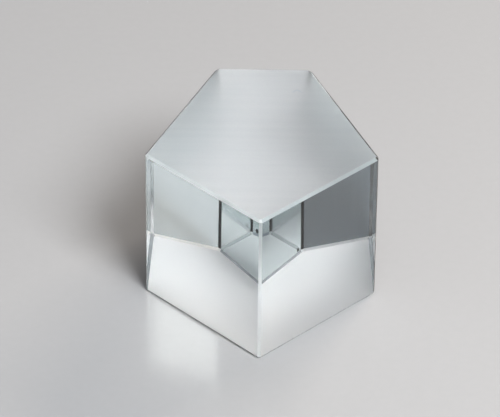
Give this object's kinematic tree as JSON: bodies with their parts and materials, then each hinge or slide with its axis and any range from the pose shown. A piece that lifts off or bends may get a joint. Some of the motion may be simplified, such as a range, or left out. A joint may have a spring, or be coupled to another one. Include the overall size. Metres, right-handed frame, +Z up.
{
  "type": "penta prism",
  "caption": "Solid five-sided glass block that turns a light beam through a right angle by folding it off its two coated rear faces.",
  "frame": {"origin": "the point of the base face that lies under the crossing of the entrance and exit beam axes, on the line between the two side corners", "axes": "+Z up out of the base; +Y along the plane of symmetry, from the front corner between the polished faces to the flat back; +X to the right, on the side of the exit face"},
  "size_m": [0.028, 0.0339, 0.02],
  "materials": {
    "optical_glass": "crown glass, polished on the entrance and exit faces, fine ground on the top, base, back and bevels",
    "mirror_coat": "aluminium film on the two rear reflecting faces, seen from inside the glass",
    "black_paint": "matte black protective paint over the aluminium film and the bevels beside it"
  },
  "bodies": {
    "root": {"penta_prism": "optical_glass"}
  },
  "joints": []
}
